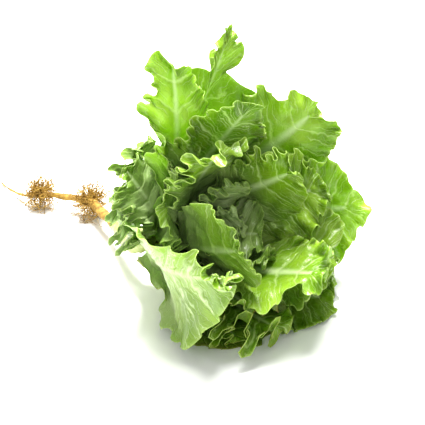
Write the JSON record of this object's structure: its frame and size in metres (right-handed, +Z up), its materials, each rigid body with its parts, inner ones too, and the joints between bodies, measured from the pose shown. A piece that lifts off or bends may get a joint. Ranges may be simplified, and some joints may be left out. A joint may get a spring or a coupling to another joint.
{
  "type": "lettuce",
  "caption": "Head of curled green loose-leaf lettuce pulled with its pale stem and fibrous root, lying on its side.",
  "frame": {"origin": "centre of the bounding box in plan, on the plane that the lettuce lies on", "axes": "+X along the plant from the root's tail to the open head, +Z up from the surface it lies on"},
  "size_m": [0.4906, 0.2578, 0.2657],
  "materials": {
    "leaf_blade": "satin",
    "heart_leaf": "satin",
    "stem_flesh": "satin",
    "root_fibre": "matte"
  },
  "bodies": {
    "root": {"stem": "stem_flesh", "root": "root_fibre", "heart": "heart_leaf", "leaf_01": "leaf_blade", "leaf_02": "leaf_blade", "leaf_03": "leaf_blade", "leaf_04": "leaf_blade", "leaf_05": "leaf_blade", "leaf_06": "leaf_blade", "leaf_07": "leaf_blade", "leaf_08": "leaf_blade", "leaf_09": "leaf_blade", "leaf_10": "leaf_blade", "leaf_11": "leaf_blade", "leaf_12": "leaf_blade", "leaf_13": "leaf_blade", "leaf_14": "leaf_blade", "leaf_15": "leaf_blade", "leaf_16": "leaf_blade", "leaf_17": "leaf_blade", "leaf_18": "leaf_blade", "leaf_19": "leaf_blade", "leaf_20": "leaf_blade", "leaf_21": "leaf_blade", "leaf_22": "leaf_blade", "leaf_23": "leaf_blade", "leaf_24": "leaf_blade", "leaf_25": "leaf_blade", "leaf_26": "leaf_blade"}
  },
  "joints": []
}
